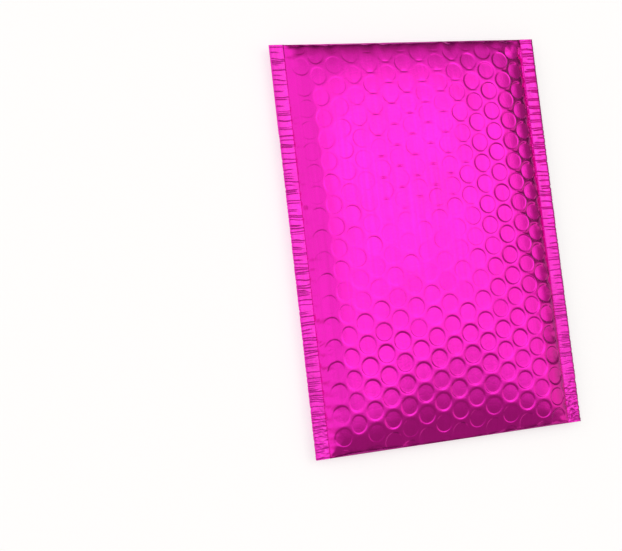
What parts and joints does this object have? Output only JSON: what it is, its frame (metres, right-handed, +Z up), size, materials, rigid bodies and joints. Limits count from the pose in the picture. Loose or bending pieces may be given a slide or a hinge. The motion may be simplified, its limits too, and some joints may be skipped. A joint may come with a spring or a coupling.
{
  "type": "metallic bubble mailer",
  "caption": "Closed padded mailer of magenta metallic film over bubble wrap, with crimped side seals, a folded bottom and a flap stuck down on its underside.",
  "frame": {"origin": "on the surface that the mailer lies on, under the middle of its outline", "axes": "+Z up through the plain face, +Y along the length to the end that the flap closes, X across the width"},
  "size_m": [0.165, 0.228, 0.014],
  "materials": {
    "metallic_film": "metallised film with a satin sheen, embossed by the bubbles behind it"
  },
  "bodies": {
    "root": {"bubble_mailer": "metallic_film"}
  },
  "joints": []
}
